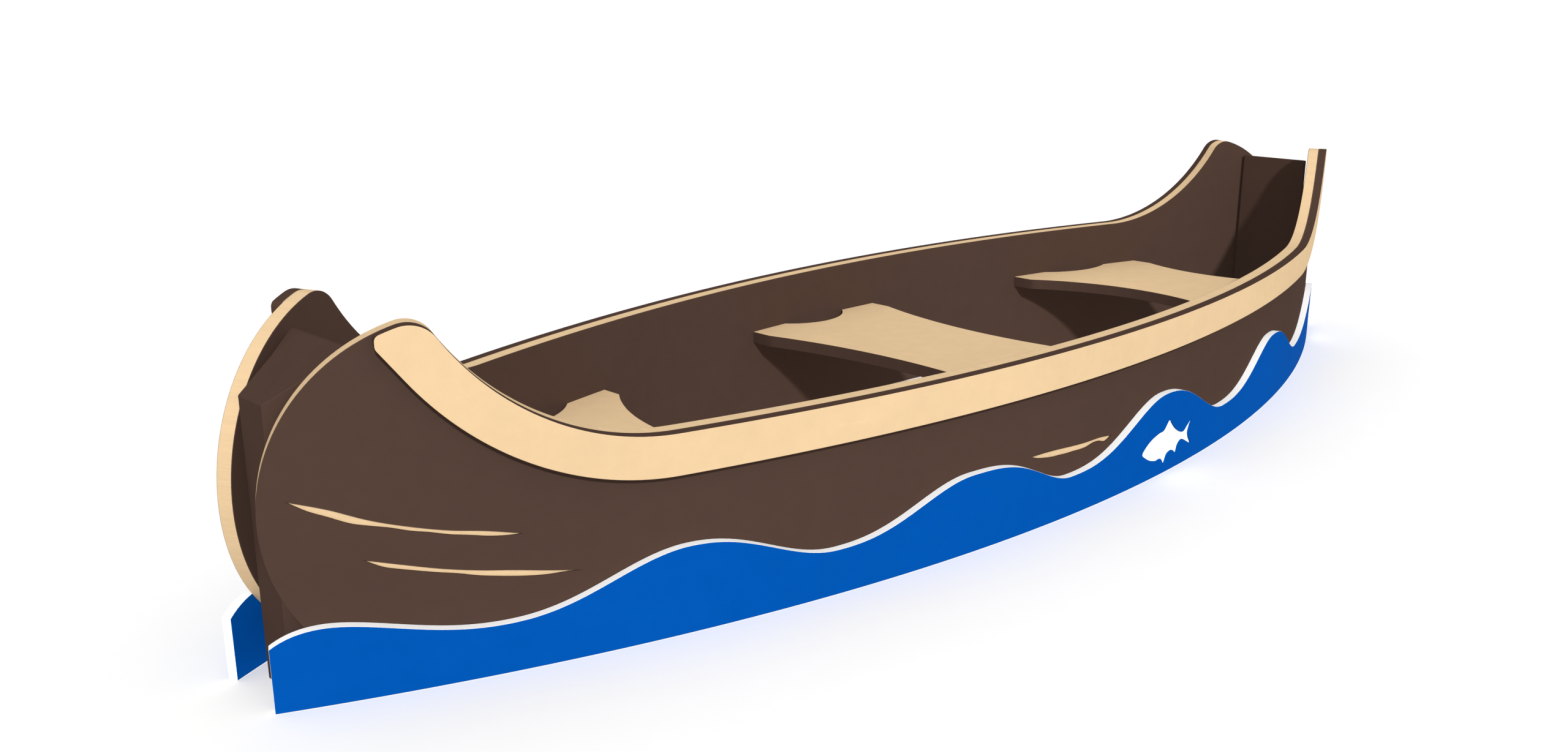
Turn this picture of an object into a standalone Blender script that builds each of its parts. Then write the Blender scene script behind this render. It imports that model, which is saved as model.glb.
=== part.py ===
"""Playground canoe made of bent and flat two-colour plastic sheet.

Two hull sides, each bent to one large plan radius, meet at a stem block at
either end. A trim runs along the gunwale, a wave-shaped panel along the
ground, and three seats tie the sides together. Steel angles, straps and feet
with button-head screws hold it all together from the inside.

Frame: X along the length (bow at -X), Y across (port at -Y), Z up, ground at
z = 0, origin at the middle of the footprint. Metres.

A sheet that follows a hull side is drawn flat in (s, z), s being the arc
length along the hull's outer face and d the distance outwards from it, and is
then bent. All bent pieces share the same bend lines, so their facets stay
parallel.
"""

import math

import bmesh
import bpy
from mathutils import Matrix, Vector

# ------------------------------------------------------------------ dimensions
GAP = 0.0003              # play between pieces that touch

R_HULL = 3.535            # plan radius of the outer face of a hull side
HALF_BEAM = 0.411         # outer face of a hull side at mid length
BEND_PITCH = 0.060        # spacing of the bend lines along the hull

T_HULL = 0.025            # sheet thicknesses
T_TRIM = 0.019
T_WAVE = 0.016
T_SEAT = 0.025
T_STEEL = 0.004
BEND_R = 0.002            # inner bend radius of an angle

END_S, END_Z, END_R = 1.328, 0.2625, 0.2675      # round end of a hull side
PEAK_R = 0.045                                   # round on top of the peak
SHEER_S, SHEER_R, SHEER_Z = 1.016, 0.402, 0.3205  # rise of the gunwale

TRIM_END_S = 1.431        # gunwale trim
TRIM_LOW_Z = 0.2552
TRIM_LOW_S, TRIM_LOW_R = 1.014, 0.477
TRIM_TANGENT_S = 1.395
TRIM_UPPER_ROUND, TRIM_LOWER_ROUND = 0.010, 0.012

WAVE_END_S = 1.5965       # wave panel
# crests and troughs of its top: s, z, and the part of the run to the next one
# at which half the step is done
WAVE_TOP = ((-1.5965, 0.095, 0.25), (-1.524, 0.115, 0.44),
            (-1.283, 0.076, 0.54), (-0.997, 0.141, 0.53),
            (-0.735, 0.0765, 0.56), (-0.444, 0.1415, 0.63),
            (-0.182, 0.0765, 0.59), (0.139, 0.166, 0.56),
            (0.422, 0.077, 0.60), (0.746, 0.164, 0.57),
            (1.040, 0.073, 0.55), (1.450, 0.147, 0.50),
            (1.5965, 0.120, 0.50))

POCKET_DEPTH = 0.003      # routed grooves and figures
FISH = ((0.160, 0.060, 0.205), (1.465, 0.054, 0.190))   # s, z, length
FISH_SLIM = 0.56          # height of the figure against its drawing
# outline of the routed fish in lengths of the fish, nose at u = 0
FISH_SHAPE = ((0.00, 0.00), (0.05, 0.09), (0.16, 0.19), (0.30, 0.25),
              (0.40, 0.27), (0.50, 0.42), (0.57, 0.31), (0.66, 0.18),
              (0.80, 0.07), (0.90, 0.16), (1.00, 0.25), (0.95, 0.10),
              (0.93, 0.00), (0.95, -0.10), (1.00, -0.23), (0.90, -0.15),
              (0.80, -0.07), (0.72, -0.13), (0.68, -0.27), (0.60, -0.18),
              (0.50, -0.21), (0.44, -0.36), (0.37, -0.24), (0.28, -0.24),
              (0.16, -0.18), (0.05, -0.08))
# grooves: s and z of both tips; then, in mm at even steps from tip to tip, how
# far the upper edge bows off the chord, and the width
GROOVES = ((-1.558, 0.2945, -1.246, 0.2015, (0, -2.5, -9.5, -11, -9, -3, 0),
            (0, 8, 11, 12, 8.5, 6, 6.5, 5.5, 6.5, 7, 8, 5.5, 0)),
           (-1.467, 0.1985, -1.161, 0.1300, (0, -3.5, -6.5, -6.5, -4, -2.5, 0),
            (0, 7, 7.5, 7, 6.5, 6.5, 8.5, 9.5, 10, 9, 6.5, 2.5, 0)),
           (-0.281, 0.1327, -0.034, 0.1190, (0, 1.5, 1.5, 0.5, 0.5, 2, 0),
            (0, 6.5, 10, 12, 12, 12, 11, 11, 10, 6.5, 6.5, 9.5, 0)),
           (1.210, 0.1570, 1.500, 0.2065, (0, 9.5, 16, 15.5, 12, 7, 0),
            (0, 5, 6, 7, 8, 8, 8, 7, 7, 6, 5, 3, 0)))

STEM_FRONT_X, STEM_FRONT_HALF = 1.508, 0.034     # stem block in plan
STEM_KINK_X, STEM_KINK_HALF = 1.4445, 0.0615
STEM_WIDE_X, STEM_WIDE_HALF = 1.399, 0.0893
STEM_BACK_X, STEM_BACK_HALF = 1.394, 0.0850
STEM_TOP_Z, STEM_NOSE_Z, STEM_FLAT_X = 0.482, 0.418, 1.399

# seats: top z, then for the forward and the aft edge: x of the straight end
# tabs, y where the curve starts, depth of the curve; last the hand notch in
# either end: half width, depth
SEATS = {
    "bow": (0.191, (-1.072, 0.168, 0.037), (-0.671, 0.276, 0.091),
            (0.100, 0.032)),
    "middle": (0.214, (-0.2135, 0.331, 0.0465), (0.1795, 0.331, 0.053),
               (0.0945, 0.047)),
    "stern": (0.2135, (0.667, 0.272, 0.086), (1.072, 0.168, 0.037),
              (0.103, 0.030)),
}

ANGLE_HALF = 0.134        # seat angle: half length, legs, cut-out
ANGLE_LEG_V, ANGLE_LEG_H = 0.018, 0.036
ANGLE_CUT_HALF = 0.101
SEAT_SCREW_S, SEAT_SCREW_IN = 0.1175, 0.021

STRAP_Z0, STRAP_Z1 = 0.040, 0.100                # stem strap
STRAP_LEG_S = 1.392
STRAP_BEND_R = 0.0135     # outer bend radius

FOOT_S = 1.170            # ground foot
FOOT_HALF = 0.040
FOOT_LEG_V, FOOT_LEG_H = 0.040, 0.046
FOOT_BOLT_Z = 0.023
ANCHOR_R, ANCHOR_IN = 0.006, 0.027

WAVE_SCREW_S, WAVE_SCREW_Z = -0.090, 0.016

# button-head screws: shank radius, head radius, head height, recess radius
M8 = (0.0040, 0.0070, 0.0044, 0.0026)
M6 = (0.0030, 0.0053, 0.0033, 0.0020)
CLEAR = 0.0004            # radial clearance of a screw hole
ROUND = 8                 # sides of a screw or a screw hole

Y_CENTRE = R_HULL - HALF_BEAM
SIDES = (("port", -1.0), ("starboard", 1.0))
ENDS = (("bow", -1.0), ("stern", 1.0))

# ----------------------------------------------------------------------- scene
for old in list(bpy.data.objects):
    bpy.data.objects.remove(old, do_unlink=True)

PARTS = bpy.data.collections.new("play_canoe")
CUTTERS = bpy.data.collections.new("cutters")
bpy.context.scene.collection.children.link(PARTS)
bpy.context.scene.collection.children.link(CUTTERS)

ROOT = bpy.data.objects.new("canoe_origin", None)
PARTS.objects.link(ROOT)


def material(name, rgb, roughness, metallic=0.0):
    """Principled material from an 8-bit display colour."""
    def linear(c):
        c /= 255.0
        return c / 12.92 if c <= 0.04045 else ((c + 0.055) / 1.055) ** 2.4
    mat = bpy.data.materials.new(name)
    mat.use_nodes = True
    bsdf = mat.node_tree.nodes["Principled BSDF"]
    bsdf.inputs["Base Color"].default_value = [linear(c) for c in rgb] + [1.0]
    bsdf.inputs["Roughness"].default_value = roughness
    bsdf.inputs["Metallic"].default_value = metallic
    return mat


BROWN = material("brown_sheet", (87, 67, 58), 0.45)
TAN = material("tan_sheet", (250, 216, 171), 0.45)
BLUE = material("blue_sheet", (0, 90, 186), 0.45)
ZINC = material("zinc_plated_steel", (168, 170, 172), 0.38, 1.0)
STAINLESS = material("stainless_steel", (190, 190, 188), 0.28, 1.0)


# -------------------------------------------------------------------- geometry
def plan_point(s, d, side):
    """Point in plan at arc length s, distance d outside the hull's outer face."""
    k = math.floor(s / BEND_PITCH + 1e-7)
    t = s / BEND_PITCH - k
    r = R_HULL + d
    line = []
    for i in (k, k + 1):
        a = i * BEND_PITCH / R_HULL
        line.append(Vector((r * math.sin(a), r * math.cos(a) - Y_CENTRE)))
    p = line[0].lerp(line[1], t)
    return Vector((p.x, side * p.y))


def outward(s, side):
    """Outward normal of the facet that holds s."""
    k = math.floor(s / BEND_PITCH + 1e-7)
    a = (k + 0.5) * BEND_PITCH / R_HULL
    return Vector((math.sin(a), side * math.cos(a), 0.0))


def hull_point(s, d, z, side):
    p = plan_point(s, d, side)
    return Vector((p.x, p.y, z))


def s_on_face(x, d):
    """Arc length of the point at x on the face at distance d (either sign)."""
    return R_HULL * math.asin(x / (R_HULL + d))


def arc(cu, cv, r, a0, a1, n):
    """Points on an arc, angles in degrees."""
    return [(cu + r * math.cos(math.radians(a0 + (a1 - a0) * i / n)),
             cv + r * math.sin(math.radians(a0 + (a1 - a0) * i / n)))
            for i in range(n + 1)]


def curve_edge(p0, p1, depth, n):
    """Circular arc from p0 to p1 that bows to the left by depth."""
    a, b = Vector(p0), Vector(p1)
    half = (b - a).length / 2
    r = (half * half + depth * depth) / (2 * abs(depth))
    along = (b - a).normalized()
    left = Vector((-along.y, along.x)) * math.copysign(1.0, depth)
    centre = (a + b) / 2 - left * (r - abs(depth))
    sweep = math.asin(half / r)
    return [tuple(centre + left * (r * math.cos(sweep * (2 * i / n - 1)))
                  + along * (r * math.sin(sweep * (2 * i / n - 1))))
            for i in range(n + 1)]


def rounded_corner(p, q, e, r, n):
    """Arc of radius r in the corner p-q-e."""
    p, q, e = Vector(p), Vector(q), Vector(e)
    a, b = (p - q).normalized(), (e - q).normalized()
    half = a.angle(b) / 2
    t = r / math.tan(half)
    centre = q + (a + b).normalized() * (r / math.sin(half))
    v0 = q + a * t - centre
    v1 = q + b * t - centre
    turn = v0.angle_signed(v1)
    return [tuple(centre + Matrix.Rotation(-turn * i / n, 2) @ v0)
            for i in range(n + 1)]


def clean(points):
    """Drop points that repeat the one before."""
    out = []
    for p in points:
        if not out or math.dist(p, out[-1]) > 1e-5:
            out.append(p)
    if math.dist(out[0], out[-1]) < 1e-5:
        out.pop()
    return out


def plate(outline, lo, hi):
    """Closed plate: an outline in (x, y) filled from z = lo to z = hi."""
    curve = bpy.data.curves.new("outline", "CURVE")
    curve.dimensions = "2D"
    curve.fill_mode = "BOTH"
    curve.extrude = (hi - lo) / 2
    points = clean(outline)
    spline = curve.splines.new("POLY")
    spline.points.add(len(points) - 1)
    for sp, (u, v) in zip(spline.points, points):
        sp.co = (u, v, 0.0, 1.0)
    spline.use_cyclic_u = True
    obj = bpy.data.objects.new("outline", curve)
    obj.location.z = (lo + hi) / 2
    CUTTERS.objects.link(obj)
    bpy.context.view_layer.update()
    graph = bpy.context.evaluated_depsgraph_get()
    mesh = bpy.data.meshes.new_from_object(obj.evaluated_get(graph))
    bm = bmesh.new()
    bm.from_mesh(mesh)
    bmesh.ops.transform(bm, matrix=obj.matrix_world, verts=bm.verts)
    bpy.data.objects.remove(obj)
    bpy.data.curves.remove(curve)
    bpy.data.meshes.remove(mesh)
    bmesh.ops.remove_doubles(bm, verts=bm.verts, dist=1e-6)
    bmesh.ops.dissolve_limit(bm, angle_limit=0.0005, verts=bm.verts,
                             edges=bm.edges)
    bmesh.ops.recalc_face_normals(bm, faces=bm.faces)
    return face_out(bm)


def face_out(bm):
    """Turn the faces of a closed body outwards."""
    if bm.calc_volume(signed=True) < 0:
        bmesh.ops.reverse_faces(bm, faces=bm.faces)
    return bm


def bend(bm, side):
    """Bend a plate drawn in (s, z, d) round the hull of one side."""
    low = min(v.co.x for v in bm.verts)
    high = max(v.co.x for v in bm.verts)
    k = math.ceil(low / BEND_PITCH)
    while k * BEND_PITCH < high:
        at = k * BEND_PITCH
        if min(at - low, high - at) > 1e-4:
            bmesh.ops.bisect_plane(
                bm, geom=bm.verts[:] + bm.edges[:] + bm.faces[:], dist=1e-6,
                plane_co=(at, 0, 0), plane_no=(1, 0, 0))
        k += 1
    for v in bm.verts:
        v.co = hull_point(v.co.x, v.co.z, v.co.y, side)
    return face_out(bm)


def bent_plate(outline, lo, hi, side):
    return bend(plate(outline, lo, hi), side)


def bent_section(section, s0, s1, side):
    """A (d, z) section run along the hull from s0 to s1."""
    bm = plate(section, s0, s1)
    for v in bm.verts:
        v.co = Vector((v.co.z, v.co.y, v.co.x))
    return bend(bm, side)


def bar(start, end, radius):
    """Round bar between two points."""
    axis = end - start
    turn = Vector((0, 0, 1)).rotation_difference(axis).to_matrix().to_4x4()
    bm = bmesh.new()
    bmesh.ops.create_cone(bm, cap_ends=True, segments=ROUND, radius1=radius,
                          radius2=radius, depth=axis.length,
                          matrix=Matrix.Translation((start + end) / 2) @ turn)
    return bm


def to_mesh(name, bms):
    """One mesh from one or more bodies, smooth with sharp edges."""
    joined = bmesh.new()
    for bm in bms:
        part = bpy.data.meshes.new("body")
        bm.to_mesh(part)
        bm.free()
        joined.from_mesh(part)
        bpy.data.meshes.remove(part)
    mesh = bpy.data.meshes.new(name)
    joined.to_mesh(mesh)
    joined.free()
    mesh.shade_smooth()
    mesh.set_sharp_from_angle(angle=math.radians(25))
    return mesh


def add_part(name, bm, mat, cuts=()):
    """A named piece, with what is cut out of it."""
    mesh = to_mesh(name, [bm])
    mesh.materials.append(mat)
    obj = bpy.data.objects.new(name, mesh)
    PARTS.objects.link(obj)
    obj.parent = ROOT
    if cuts:
        tool = bpy.data.objects.new(name + "_cut", to_mesh(name + "_cut", cuts))
        CUTTERS.objects.link(tool)
        tool.hide_render = True
        tool.display_type = "WIRE"
        mod = obj.modifiers.new("cut", "BOOLEAN")
        mod.operation = "DIFFERENCE"
        mod.solver = "EXACT"
        mod.object = tool
    return obj


SCREW_MESHES = {}


def add_screw(name, size, length, seat, axis):
    """Button-head screw: head outside the point seat, shank along -axis."""
    key = (size, length)
    if key not in SCREW_MESHES:
        shank, head, height, recess = size
        rim = height * 0.45
        profile = ((0.0, height * 0.45), (recess, height * 0.45),
                   (recess, height), (head * 0.62, height * 0.96),
                   (head, rim), (head, 0.0), (shank, 0.0),
                   (shank, -length), (0.0, -length))
        mesh = bpy.data.meshes.new("screw_profile")
        mesh.from_pydata([(r, 0.0, z) for r, z in profile],
                         [(i, i + 1) for i in range(len(profile) - 1)], [])
        mesh.materials.append(STAINLESS)
        SCREW_MESHES[key] = mesh
    obj = bpy.data.objects.new(name, SCREW_MESHES[key])
    PARTS.objects.link(obj)
    obj.parent = ROOT
    turn = obj.modifiers.new("turn", "SCREW")
    turn.steps = turn.render_steps = ROUND
    turn.use_merge_vertices = True
    turn.merge_threshold = 0.00001
    turn.use_smooth_shade = True
    rotation = Vector((0, 0, 1)).rotation_difference(axis).to_matrix().to_4x4()
    obj.matrix_world = Matrix.Translation(seat + axis * GAP) @ rotation
    return obj


# -------------------------------------------------------------------- outlines
def mirrored(half):
    """Close an outline from its half at s > 0, listed from low to high."""
    return list(half) + [(-u, v) for u, v in reversed(half)]


def peak_centre():
    """Centre of the peak's round, tangent to the end circle and the sheer."""
    a = Vector((END_S, END_Z))
    b = Vector((SHEER_S, SHEER_Z + SHEER_R))
    ra, rb = END_R - PEAK_R, SHEER_R + PEAK_R
    gap = (b - a).length
    along = (ra * ra - rb * rb + gap * gap) / (2 * gap)
    off = math.sqrt(ra * ra - along * along)
    axis = (b - a) / gap
    return a + axis * along + Vector((axis.y, -axis.x)) * off


def top_profile(start_angle, n_end):
    """Top of a hull side from the round end to mid length, s > 0."""
    c = peak_centre()
    a_end = math.degrees(math.atan2(c.y - END_Z, c.x - END_S))
    a_sheer = math.degrees(math.atan2(c.y - SHEER_Z - SHEER_R, c.x - SHEER_S))
    return (arc(END_S, END_Z, END_R, start_angle, a_end, n_end)
            + arc(c.x, c.y, PEAK_R, a_end, 180 + a_sheer, 8)
            + arc(SHEER_S, SHEER_Z + SHEER_R, SHEER_R, a_sheer, -90, 14))


def hull_outline():
    start = -math.degrees(math.asin(END_Z / END_R))
    return mirrored(top_profile(start, 26))


def trim_outline():
    end_z = END_Z + math.sqrt(END_R ** 2 - (TRIM_END_S - END_S) ** 2)
    low_c = TRIM_LOW_Z + TRIM_LOW_R
    sweep = math.asin((TRIM_TANGENT_S - TRIM_LOW_S) / TRIM_LOW_R)
    tangent = (TRIM_TANGENT_S, low_c - TRIM_LOW_R * math.cos(sweep))
    low_z = tangent[1] + (TRIM_END_S - TRIM_TANGENT_S) * math.tan(sweep)
    upper, lower = (TRIM_END_S, end_z), (TRIM_END_S, low_z)
    near = TRIM_END_S - 0.0075
    top = top_profile(math.degrees(math.acos((near - END_S) / END_R)), 4)
    half = (arc(TRIM_LOW_S, low_c, TRIM_LOW_R, -90,
                math.degrees(sweep) - 90, 14)
            + rounded_corner(tangent, lower, upper, TRIM_LOWER_ROUND, 4)
            + rounded_corner(lower, upper, top[0], TRIM_UPPER_ROUND, 6)
            + top)
    return mirrored(half)


def wave_outline():
    points = [(WAVE_END_S, 0.0), (-WAVE_END_S, 0.0)]
    for (s0, z0, skew), (s1, z1, _) in zip(WAVE_TOP, WAVE_TOP[1:]):
        n = max(5, round((s1 - s0) / 0.030))
        for i in range(n):
            t = i / n
            turn = t ** (math.log(0.5) / math.log(skew))
            rise = 0.5 - 0.5 * math.cos(math.pi * turn)
            points.append((s0 + (s1 - s0) * t, z0 + (z1 - z0) * rise))
    points.append(WAVE_TOP[-1][:2])
    return points[::-1]


def fish_outline(s, z, length):
    """Rounded fish figure, nose towards the bow."""
    points = [Vector((s + (u - 0.5) * length, z + v * length * FISH_SLIM))
              for u, v in FISH_SHAPE]
    out = []
    n = len(points)
    for i in range(n):
        p0, p1, p2, p3 = (points[(i + j) % n] for j in (-1, 0, 1, 2))
        for t in (0.0, 0.5):
            out.append(tuple(0.5 * (2 * p1 + (p2 - p0) * t
                             + (2 * p0 - 5 * p1 + 4 * p2 - p3) * t ** 2
                             + (3 * p1 - p0 - 3 * p2 + p3) * t ** 3)))
    return out


def along(values, t):
    """Smooth curve through evenly spaced values, at t from 0 to 1."""
    n = len(values) - 1
    k = min(int(t * n), n - 1)
    f = t * n - k
    p1, p2 = values[k], values[k + 1]
    p0 = values[k - 1] if k else 2 * p1 - p2
    p3 = values[k + 2] if k + 2 <= n else 2 * p2 - p1
    return 0.5 * (2 * p1 + (p2 - p0) * f + (2 * p0 - 5 * p1 + 4 * p2 - p3) * f ** 2
                  + (3 * p1 - p0 - 3 * p2 + p3) * f ** 3)


def groove_outline(s0, z0, s1, z1, bow, width):
    """Long pointed scratch with a smooth upper and a ragged lower edge."""
    upper, lower = [], []
    n = 16
    for i in range(n + 1):
        t = i / n
        s = s0 + (s1 - s0) * t
        z = z0 + (z1 - z0) * t + along(bow, t) / 1000
        upper.append((s, z))
        if 0 < i < n:
            lower.append((s, z - along(width, t) / 1000))
    return lower[::-1] + upper


def seat_outline(fore, aft, notch):
    """Seat in plan: hour-glass edges, ends that follow the hull sides."""
    d_end = -T_HULL - GAP
    s0, s1 = s_on_face(fore[0], d_end), s_on_face(aft[0], d_end)
    mid = (s0 + s1) / 2
    half, depth = notch

    def end(side):
        """End against one hull side, from the fore to the aft tab."""
        stops = [(s0, d_end)]
        k = math.ceil(s0 / BEND_PITCH)
        columns = []
        while k * BEND_PITCH < s1:
            columns.append(k * BEND_PITCH)
            k += 1
        stops += [(s, d_end) for s in columns
                  if s0 + 1e-4 < s < mid - half - 1e-4]
        stops += curve_edge((mid - half, d_end),
                            (mid + half, d_end), -depth, 14)
        stops += [(s, d_end) for s in columns
                  if mid + half + 1e-4 < s < s1 - 1e-4]
        stops.append((s1, d_end))
        return [tuple(plan_point(s, d, side)) for s, d in stops]

    x0, y0, dip0 = fore
    x1, y1, dip1 = aft
    return (end(-1.0)
            + curve_edge((x1, -y1), (x1, y1), dip1, 16)
            + end(1.0)[::-1]
            + curve_edge((x0, y0), (x0, -y0), dip0, 16))


def angle_section(corner, side_end, flat_end):
    """Bent angle in (d, z): outer corner, end of its upright and flat leg."""
    corner, side_end, flat_end = (Vector(p) for p in (corner, side_end, flat_end))
    up = (side_end - corner).normalized()
    flat = (flat_end - corner).normalized()
    inner = corner + (up + flat) * T_STEEL
    outer = rounded_corner(side_end, corner, flat_end, BEND_R + T_STEEL, 4)
    inside = rounded_corner(flat_end + up * T_STEEL, inner,
                            side_end + flat * T_STEEL, BEND_R, 4)
    return ([tuple(side_end)] + outer + [tuple(flat_end),
            tuple(flat_end + up * T_STEEL)] + inside
            + [tuple(side_end + flat * T_STEEL)])


def strap_outline(end):
    """Stem strap in plan: along one hull side, across the block, back."""
    face = -T_HULL - GAP
    back = STEM_BACK_X - GAP
    leg = plan_point(STRAP_LEG_S, face, 1.0)
    corner = plan_point(s_on_face(back, face), face, 1.0)
    across = Vector((corner.x, 0.0))
    run, turn = (leg - corner).normalized(), (across - corner).normalized()
    half_turn = run.angle(turn) / 2
    inside = corner + (run + turn).normalized() * (T_STEEL / math.sin(half_turn))
    leg_in = leg + Vector((run.y, -run.x)) * -T_STEEL
    outer = [tuple(leg)] + rounded_corner(leg, corner, across, STRAP_BEND_R, 5)
    inner = [tuple(leg_in)] + rounded_corner(leg_in, inside,
                                             (inside.x, 0.0),
                                             STRAP_BEND_R - T_STEEL, 5)
    half = outer + [(x, -y) for x, y in reversed(outer)]
    half += [(x, -y) for x, y in inner] + inner[::-1]
    return [(end * x, y) for x, y in half]


# ---------------------------------------------------------------------- screws
# Each screw lists the point its head sits on, its axis, and what it enters.
holes = {}


def drill(node, start, end, radius):
    holes.setdefault(node, []).append((start, end, radius))


def fasten(name, size, length, seat, axis, through):
    """Place a screw; through lists (node, depth of its hole's end)."""
    screws.append((name, size, length, seat, axis))
    for node, from_depth, to_depth in through:
        drill(node, seat - axis * from_depth, seat - axis * to_depth,
              size[0] + CLEAR)


screws = []
IN_FACE = -T_HULL - GAP           # face of a bracket that lies on the hull
IN_BACK = IN_FACE - T_STEEL       # its free face, where the screw heads sit

seat_mid = {}
for seat_name, (top, fore, aft, notch) in SEATS.items():
    seat_mid[seat_name] = (s_on_face(fore[0], IN_FACE)
                           + s_on_face(aft[0], IN_FACE)) / 2
    leg_top = top - T_SEAT - GAP
    for side_name, side in SIDES:
        angle = f"seat_angle_{seat_name}_{side_name}"
        for pos, sign in (("fore", -1), ("aft", 1)):
            s_hull = BEND_PITCH * (math.floor(
                (seat_mid[seat_name] + sign * 0.055) / BEND_PITCH) + 0.5)
            axis = -outward(s_hull, side)
            fasten(f"seat_hull_screw_{seat_name}_{side_name}_{pos}", M6, 0.022,
                   hull_point(s_hull, IN_BACK, leg_top - 0.0115, side), axis,
                   ((angle, -0.002, T_STEEL + 0.0002),
                    (f"hull_{side_name}", T_STEEL, 0.0228)))
            s_seat = seat_mid[seat_name] + sign * SEAT_SCREW_S
            under = hull_point(s_seat, IN_FACE - SEAT_SCREW_IN,
                               leg_top - T_STEEL, side)
            fasten(f"seat_screw_{seat_name}_{side_name}_{pos}", M6, 0.022,
                   under, Vector((0, 0, -1)),
                   ((angle, -0.002, T_STEEL + 0.0002),
                    (f"seat_{seat_name}", T_STEEL, 0.0228)))

for end_name, end in ENDS:
    z = (STRAP_Z0 + STRAP_Z1) / 2
    strap = f"stem_strap_{end_name}"
    fasten(f"stem_screw_{end_name}", M8, 0.036,
           Vector((end * (STEM_BACK_X - GAP - T_STEEL), 0, z)),
           Vector((-end, 0, 0)),
           ((strap, -0.002, T_STEEL + 0.0002),
            (f"stem_block_{end_name}", T_STEEL, 0.037)))
    for side_name, side in SIDES:
        s_leg = end * 1.410
        fasten(f"stem_hull_screw_{end_name}_{side_name}", M6, 0.022,
               hull_point(s_leg, IN_BACK, z, side), -outward(s_leg, side),
               ((strap, -0.002, T_STEEL + 0.0002),
                (f"hull_{side_name}", T_STEEL, 0.0228)))
        s_foot = end * FOOT_S
        fasten(f"foot_bolt_{end_name}_{side_name}", M8, 0.039,
               hull_point(s_foot, IN_BACK, FOOT_BOLT_Z, side),
               -outward(s_foot, side),
               ((f"ground_foot_{end_name}_{side_name}", -0.002,
                 T_STEEL + 0.0002),
                (f"hull_{side_name}", T_STEEL, T_STEEL + T_HULL + 0.0005),
                (f"wave_panel_{side_name}", T_STEEL + T_HULL, 0.040)))

for side_name, side in SIDES:
    fasten(f"wave_screw_{side_name}", M6, 0.035,
           hull_point(WAVE_SCREW_S, -T_HULL, WAVE_SCREW_Z, side),
           -outward(WAVE_SCREW_S, side),
           ((f"hull_{side_name}", -0.002, T_HULL + 0.0002),
            (f"wave_panel_{side_name}", T_HULL, 0.036)))


def drilled(node):
    return [bar(a, b, r) for a, b, r in holes.get(node, ())]


# ---------------------------------------------------------------------- sheets
for side_name, side in SIDES:
    node = f"hull_{side_name}"
    cuts = [bent_plate(groove_outline(*g), -POCKET_DEPTH, 0.004, side)
            for g in GROOVES]
    add_part(node, bent_plate(hull_outline(), -T_HULL, 0.0, side), BROWN,
             cuts + drilled(node))

    add_part(f"gunwale_trim_{side_name}",
             bent_plate(trim_outline(), GAP, T_TRIM, side), TAN)

    node = f"wave_panel_{side_name}"
    cuts = [bent_plate(fish_outline(*f), T_WAVE - POCKET_DEPTH,
                       T_WAVE + 0.004, side) for f in FISH]
    add_part(node, bent_plate(wave_outline(), GAP, T_WAVE, side), BLUE,
             cuts + drilled(node))

for end_name, end in ENDS:
    node = f"stem_block_{end_name}"
    half = ((STEM_FRONT_X, STEM_FRONT_HALF), (STEM_KINK_X, STEM_KINK_HALF),
            (STEM_WIDE_X, STEM_WIDE_HALF), (STEM_BACK_X, STEM_BACK_HALF))
    plan = ([(end * x, y) for x, y in half]
            + [(end * x, -y) for x, y in reversed(half)])
    slope = math.atan2(STEM_TOP_Z - STEM_NOSE_Z, STEM_FRONT_X - STEM_FLAT_X)
    wedge = bmesh.new()
    bmesh.ops.create_cube(wedge, size=0.3)
    tilt = (Matrix.Translation((end * STEM_FLAT_X, 0, STEM_TOP_Z))
            @ Matrix.Rotation(end * slope, 4, "Y")
            @ Matrix.Translation((end * 0.15, 0, 0.15)))
    bmesh.ops.transform(wedge, matrix=tilt, verts=wedge.verts)
    add_part(node, plate(plan, 0.0, STEM_TOP_Z), BROWN,
             [wedge] + drilled(node))

for seat_name, (top, fore, aft, notch) in SEATS.items():
    node = f"seat_{seat_name}"
    add_part(node, plate(seat_outline(fore, aft, notch), top - T_SEAT, top), TAN,
             drilled(node))

# -------------------------------------------------------------------- hardware
for seat_name, (top, fore, aft, notch) in SEATS.items():
    leg_top = top - T_SEAT - GAP
    mid = seat_mid[seat_name]
    section = angle_section((IN_FACE, leg_top), (IN_FACE, leg_top - ANGLE_LEG_V),
                            (IN_FACE - ANGLE_LEG_H, leg_top))
    relief = ((IN_BACK - 0.0025, leg_top + 0.01),
              (IN_FACE - 0.06, leg_top + 0.01),
              (IN_FACE - 0.06, leg_top - 0.02),
              (IN_BACK - 0.0025, leg_top - 0.02))
    for side_name, side in SIDES:
        node = f"seat_angle_{seat_name}_{side_name}"
        add_part(node, bent_section(section, mid - ANGLE_HALF,
                                    mid + ANGLE_HALF, side), ZINC,
                 [bent_section(relief, mid - ANGLE_CUT_HALF,
                               mid + ANGLE_CUT_HALF, side)] + drilled(node))

for end_name, end in ENDS:
    node = f"stem_strap_{end_name}"
    add_part(node, plate(strap_outline(end), STRAP_Z0, STRAP_Z1), ZINC,
             drilled(node))
    section = angle_section((IN_FACE, 0.0), (IN_FACE, FOOT_LEG_V),
                            (IN_FACE - FOOT_LEG_H, 0.0))
    for side_name, side in SIDES:
        node = f"ground_foot_{end_name}_{side_name}"
        anchor = hull_point(end * FOOT_S, IN_FACE - ANCHOR_IN, 0.0, side)
        ends = sorted((end * (FOOT_S - FOOT_HALF), end * (FOOT_S + FOOT_HALF)))
        add_part(node, bent_section(section, *ends, side), ZINC,
                 drilled(node) + [bar(anchor - Vector((0, 0, 0.01)),
                                      anchor + Vector((0, 0, 0.01)), ANCHOR_R)])

for name, size, length, seat, axis in screws:
    add_screw(name, size, length, seat, axis)
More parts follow.
